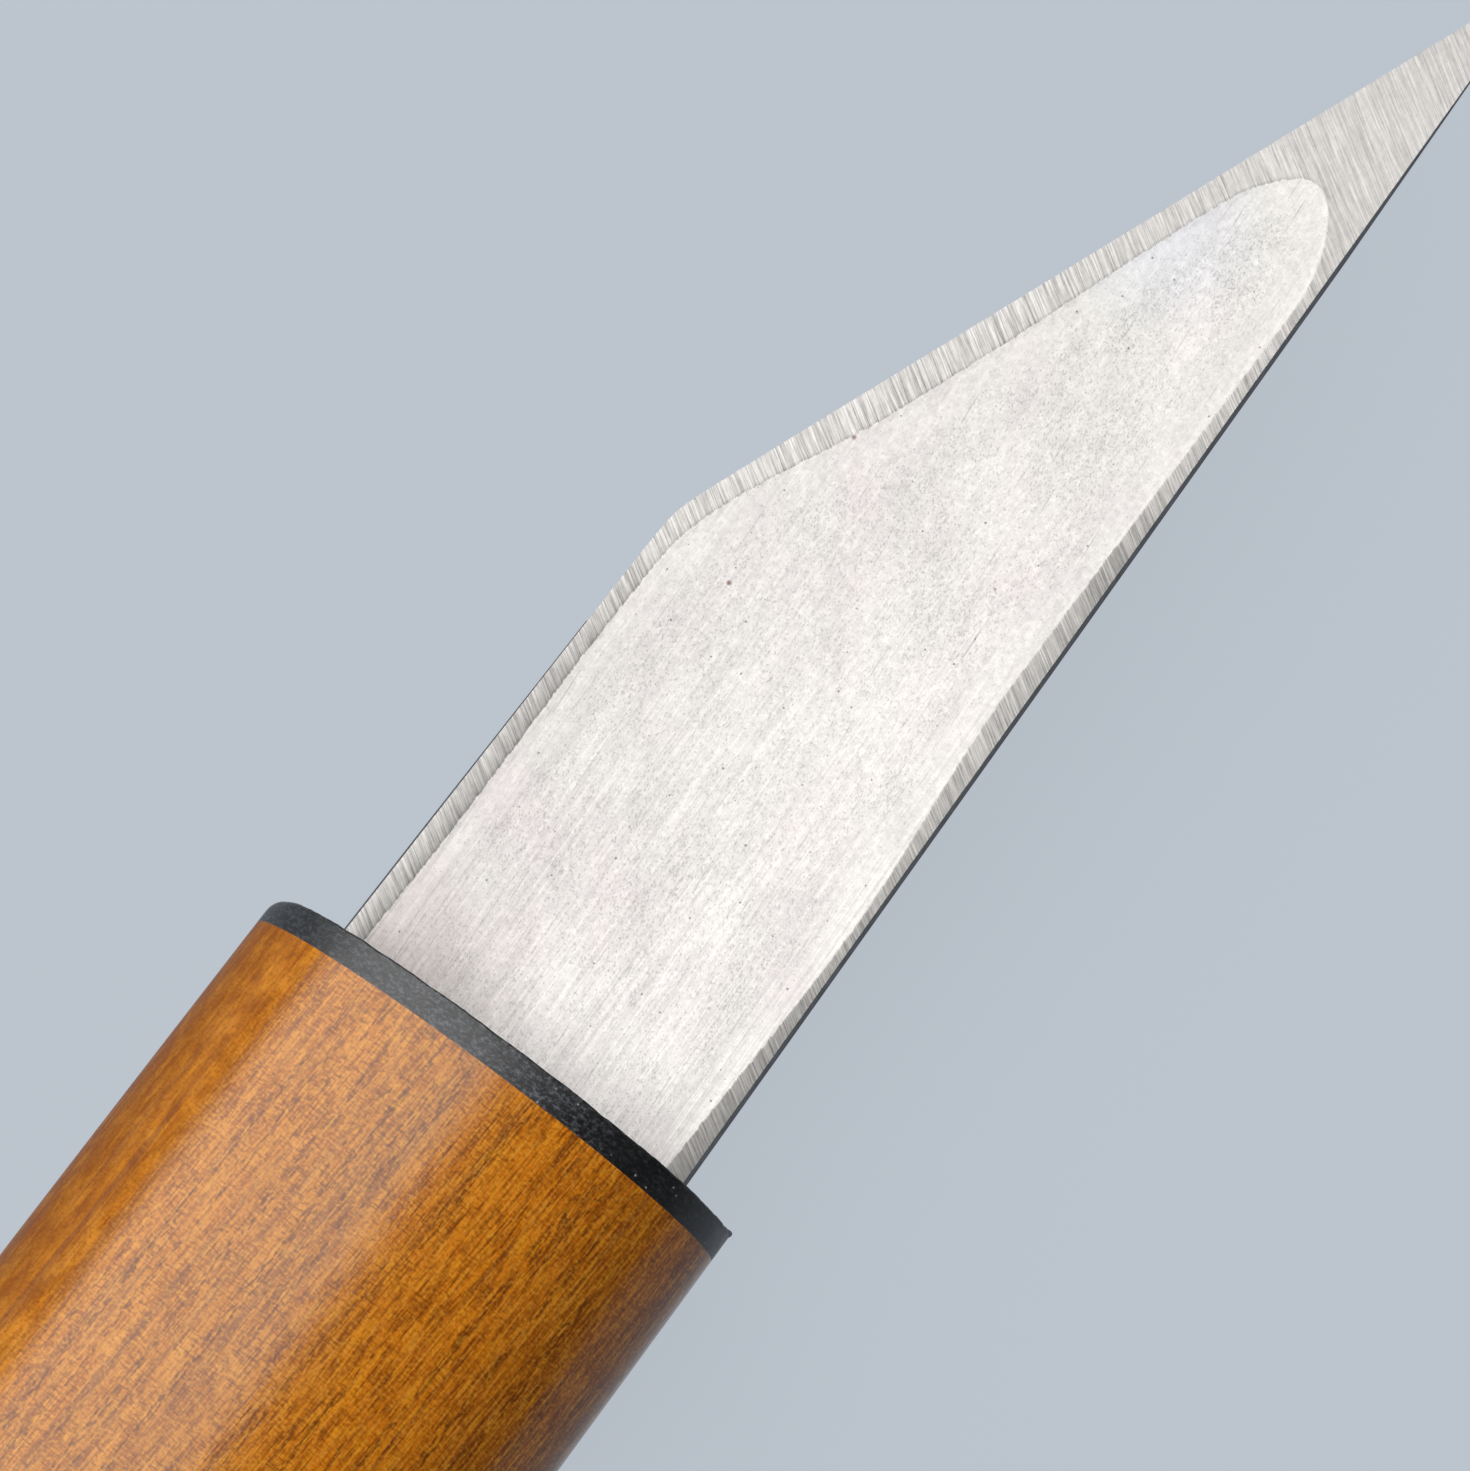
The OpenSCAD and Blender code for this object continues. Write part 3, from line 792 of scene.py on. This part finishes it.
    # hands have rubbed the lacquer thin along the side towards the cutting edge
    film = put(tree, "ShaderNodeMapRange", {"Value": tone["side"], 1: 12.3 * mm, 2: 14.8 * mm, 3: 1.0,
                                            4: 0.35}).outputs[0]
    tree.links.new(film, shader.inputs["Coat Weight"])
    tree.links.new(colour, shader.inputs["Base Color"])
    tree.links.new(bump.outputs[0], shader.inputs["Coat Normal"])
    shader.inputs["Roughness"].default_value = 0.6
    shader.inputs["Specular IOR Level"].default_value = 0.0
    shader.inputs["Coat IOR"].default_value = 1.45
    shader.inputs["Coat Roughness"].default_value = 0.21
    return made


recess = dict(rootBack=-8.4, rootFront=-1.0, rootEdge=12.53, rootSpine=-12.986, rootThick=4.0,
              tangBack=-62.4, tangFront=-6.93, tangWide=14.8, tangEndWide=9.8, tangThick=3.6)
weld = 0.0005  # mm, points of a handle half closer than this are one


def handleTree():
    # one half of the handle: a half oval that swells to its belly, closed on the glue face,
    # hollowed for the blade's root and the tang
    tree = bpy.data.node_groups.new("handleHalf", "GeometryNodeTree")
    inputs = {}
    sockets = tree.interface
    for name in ("Length", "Collar Length", "Belly Width", "Flatness", "Swell", "Belly At", "Butt Round",
                 "Rest Height", "Side", "Wood"):
        kind = "NodeSocketMaterial" if name == "Wood" else "NodeSocketFloat"
        inputs[name] = sockets.new_socket(name=name, in_out="INPUT", socket_type=kind).identifier
    sockets.new_socket(name="Half", in_out="OUTPUT", socket_type="NodeSocketGeometry")
    given = put(tree, "NodeGroupInput").outputs
    rows, columns = 150, 161
    arcShare = 0.75  # the share of the columns that goes round the oval, not along the glue face
    crowd = 1.7  # how strongly the rows crowd towards the butt
    capShare = 0.4  # each end closes at a point this share of the half height above the glue face
    grid = put(tree, "GeometryNodeMeshGrid", {"Size X": 1.0, "Size Y": 1.0, "Vertices X": rows,
                                              "Vertices Y": columns})
    at = put(tree, "ShaderNodeSeparateXYZ", {0: put(tree, "GeometryNodeInputPosition").outputs[0]})
    # rows: the first and last close the ends, the others run from the collar to the butt
    span = (rows - 1) / (rows - 3)
    row = put(tree, "ShaderNodeMath", {0: at.outputs[0], 1: span, 2: 0.5},
              operation="MULTIPLY_ADD").outputs[0]
    run = put(tree, "ShaderNodeClamp", {0: row}).outputs[0]
    opened = row
    for operation, other in (("SUBTRACT", run), ("ABSOLUTE", 0.0), ("LESS_THAN", 0.25 / rows)):
        opened = put(tree, "ShaderNodeMath", {0: opened, 1: other}, operation=operation).outputs[0]
    shut, left = [put(tree, "ShaderNodeMath", {0: 1.0, 1: part}, operation="SUBTRACT").outputs[0]
                  for part in (opened, run)]
    wooden, butt = [put(tree, "ShaderNodeMath", {0: given[first], 1: given[second]},
                        operation="SUBTRACT").outputs[0]
                    for first, second in (("Length", "Collar Length"), ("Butt Round", "Length"))]
    x = left
    for operation, other in (("POWER", crowd), ("MULTIPLY", wooden), ("SUBTRACT", given["Length"])):
        x = put(tree, "ShaderNodeMath", {0: x, 1: other}, operation=operation).outputs[0]
    # half width: a parabola about the belly, less the rounded edge at the butt
    slim = x
    for operation, other in (("DIVIDE", given["Belly At"]), ("ADD", 1.0), ("POWER", 2.0),
                             ("MULTIPLY", given["Swell"])):
        slim = put(tree, "ShaderNodeMath", {0: slim, 1: other}, operation=operation).outputs[0]
    past = butt
    for operation, other in (("SUBTRACT", x), ("MAXIMUM", 0.0), ("MINIMUM", given["Butt Round"]),
                             ("POWER", 2.0)):
        past = put(tree, "ShaderNodeMath", {0: past, 1: other}, operation=operation).outputs[0]
    arch = given["Butt Round"]
    for operation, other in (("POWER", 2.0), ("SUBTRACT", past), ("SQRT", 0.0)):
        arch = put(tree, "ShaderNodeMath", {0: arch, 1: other}, operation=operation).outputs[0]
    arch = put(tree, "ShaderNodeMath", {0: given["Butt Round"], 1: arch}, operation="SUBTRACT").outputs[0]
    half = given["Belly Width"]
    for operation, other in (("SUBTRACT", slim), ("MULTIPLY", 0.5), ("SUBTRACT", arch)):
        half = put(tree, "ShaderNodeMath", {0: half, 1: other}, operation=operation).outputs[0]
    # columns: round the half oval, then straight back along the glue face
    column = put(tree, "ShaderNodeMath", {0: at.outputs[1], 1: 0.5}, operation="ADD").outputs[0]
    bow, back = [put(tree, "ShaderNodeMapRange", {"Value": column, 1: first, 2: last, 3: 0.0,
                                                  4: most}).outputs[0]
                 for first, last, most in ((0.0, arcShare, math.pi), (arcShare, 1.0, 2.0))]
    y = bow
    for operation, other in (("COSINE", 0.0), ("ADD", back), ("MULTIPLY", opened), ("MULTIPLY", half)):
        y = put(tree, "ShaderNodeMath", {0: y, 1: other}, operation=operation).outputs[0]
    cap = put(tree, "ShaderNodeMath", {0: shut, 1: capShare}, operation="MULTIPLY").outputs[0]
    z = bow
    for operation, other in (("SINE", 0.0), ("MULTIPLY", opened), ("ADD", cap), ("MULTIPLY", half),
                             ("MULTIPLY", given["Flatness"]), ("MULTIPLY", given["Side"]),
                             ("MAXIMUM", given["Rest Height"])):
        z = put(tree, "ShaderNodeMath", {0: z, 1: other}, operation=operation).outputs[0]
    placed = put(tree, "ShaderNodeCombineXYZ", {0: x, 1: y, 2: z}).outputs[0]
    placed = put(tree, "ShaderNodeVectorMath", {0: placed, 1: tuple(mouth)}, operation="ADD").outputs[0]
    shell = put(tree, "GeometryNodeSetPosition", {"Geometry": grid.outputs[0],
                                                  "Position": placed}).outputs[0]
    shell = put(tree, "GeometryNodeMergeByDistance", {"Geometry": shell, "Distance": weld * mm}).outputs[0]
    turned = put(tree, "FunctionNodeCompare", {0: given["Side"], 1: 0.0},
                 operation="GREATER_THAN").outputs[0]
    shell = put(tree, "GeometryNodeFlipFaces", {"Mesh": shell, "Selection": turned}).outputs[0]
    # the recess: a box for the blade's root and a tapering channel for the tang
    size = {key: value * mm for key, value in recess.items()}
    rootMiddle = Vector((size["rootBack"] + size["rootFront"], size["rootEdge"] + size["rootSpine"], 0)) / 2
    root = put(tree, "GeometryNodeMeshCube", {"Size": (size["rootFront"] - size["rootBack"],
                                                       size["rootEdge"] - size["rootSpine"],
                                                       size["rootThick"])})
    root = put(tree, "GeometryNodeTransform", {"Geometry": root.outputs[0],
                                               "Translation": tuple(mouth + rootMiddle)})
    tangLong = size["tangFront"] - size["tangBack"]
    tang = put(tree, "GeometryNodeMeshCube", {"Size": (tangLong, 1.0, size["tangThick"])})
    end = put(tree, "ShaderNodeSeparateXYZ", {0: put(tree, "GeometryNodeInputPosition").outputs[0]})
    taper = put(tree, "ShaderNodeMapRange", {"Value": end.outputs[0], 1: -tangLong / 2, 2: tangLong / 2,
                                             3: size["tangEndWide"], 4: size["tangWide"]}).outputs[0]
    taper = put(tree, "ShaderNodeMath", {0: taper, 1: end.outputs[1]}, operation="MULTIPLY").outputs[0]
    narrowed = put(tree, "ShaderNodeCombineXYZ", {0: end.outputs[0], 1: taper, 2: end.outputs[2]}).outputs[0]
    tangMiddle = Vector(((size["tangFront"] + size["tangBack"]) / 2, 0, 0))
    tang = put(tree, "GeometryNodeSetPosition", {"Geometry": tang.outputs[0], "Position": narrowed,
                                                 "Offset": tuple(mouth + tangMiddle)})
    cut = put(tree, "GeometryNodeMeshBoolean", {"Mesh 1": shell}, operation="DIFFERENCE", solver="EXACT")
    tree.links.new(root.outputs[0], cut.inputs["Mesh 2"])
    tree.links.new(tang.outputs[0], cut.inputs["Mesh 2"])
    whole = put(tree, "GeometryNodeRealizeInstances", {"Geometry": cut.outputs[0]}).outputs[0]
    whole = put(tree, "GeometryNodeSetMaterial", {"Geometry": whole, "Material": given["Wood"]}).outputs[0]
    put(tree, "NodeGroupOutput", {0: whole})
    return tree, inputs


def makeHandle():
    tree, inputs = handleTree()
    wood = lacqueredWood()
    sizes = {"Length": grip["length"] * mm, "Collar Length": collarRing["length"] * mm,
             "Belly Width": bellyWide * mm, "Flatness": flatness, "Swell": grip["swell"] * mm,
             "Belly At": grip["bellyAt"] * mm, "Butt Round": grip["buttRound"] * mm,
             "Rest Height": restZ * mm, "Wood": wood}
    for name, node, side in (("handleBackHalf", "handle_back_half", 1.0),
                             ("handleFrontHalf", "handle_front_half", -1.0)):
        piece = addObject(name, bpy.data.meshes.new(name + "Start"))
        maker = piece.modifiers.new("half", "NODES")
        maker.node_group = tree
        for key, value in sizes.items():
            maker[inputs[key]] = value
        maker[inputs["Side"]] = side
        ready = piece.evaluated_get(bpy.context.evaluated_depsgraph_get())
        mesh = bpy.data.meshes.new_from_object(ready)
        mesh.name = name
        piece.modifiers.remove(maker)
        piece.data = mesh
        work = bmesh.new()
        work.from_mesh(mesh)
        bmesh.ops.remove_doubles(work, verts=work.verts, dist=weld * mm)
        bmesh.ops.dissolve_degenerate(work, edges=work.edges, dist=weld * mm)
        bmesh.ops.recalc_face_normals(work, faces=work.faces)
        work.to_mesh(mesh)
        work.free()
        finishPiece(piece, node, sharpAngle=40)


makeHandle()


def curedResin():
    # amber epoxy that set round the tang: cloudy and slightly dull
    made, tree, shader, place = newMaterial("curedAmberResin")
    cloud = put(tree, "ShaderNodeTexNoise", {"Vector": place, "Scale": 1 / (4 * mm), "Detail": 3.0})
    colour = put(tree, "ShaderNodeMix", {0: cloud.outputs[0], 6: linear("#b59a62"), 7: linear("#d6c190")},
                 data_type="RGBA")
    tree.links.new(colour.outputs[2], shader.inputs["Base Color"])
    shader.inputs["Roughness"].default_value = 0.4
    return made


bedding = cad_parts["tang_bedding"].data
bedding.materials.clear()
bedding.materials.append(curedResin())
print("bedding done")
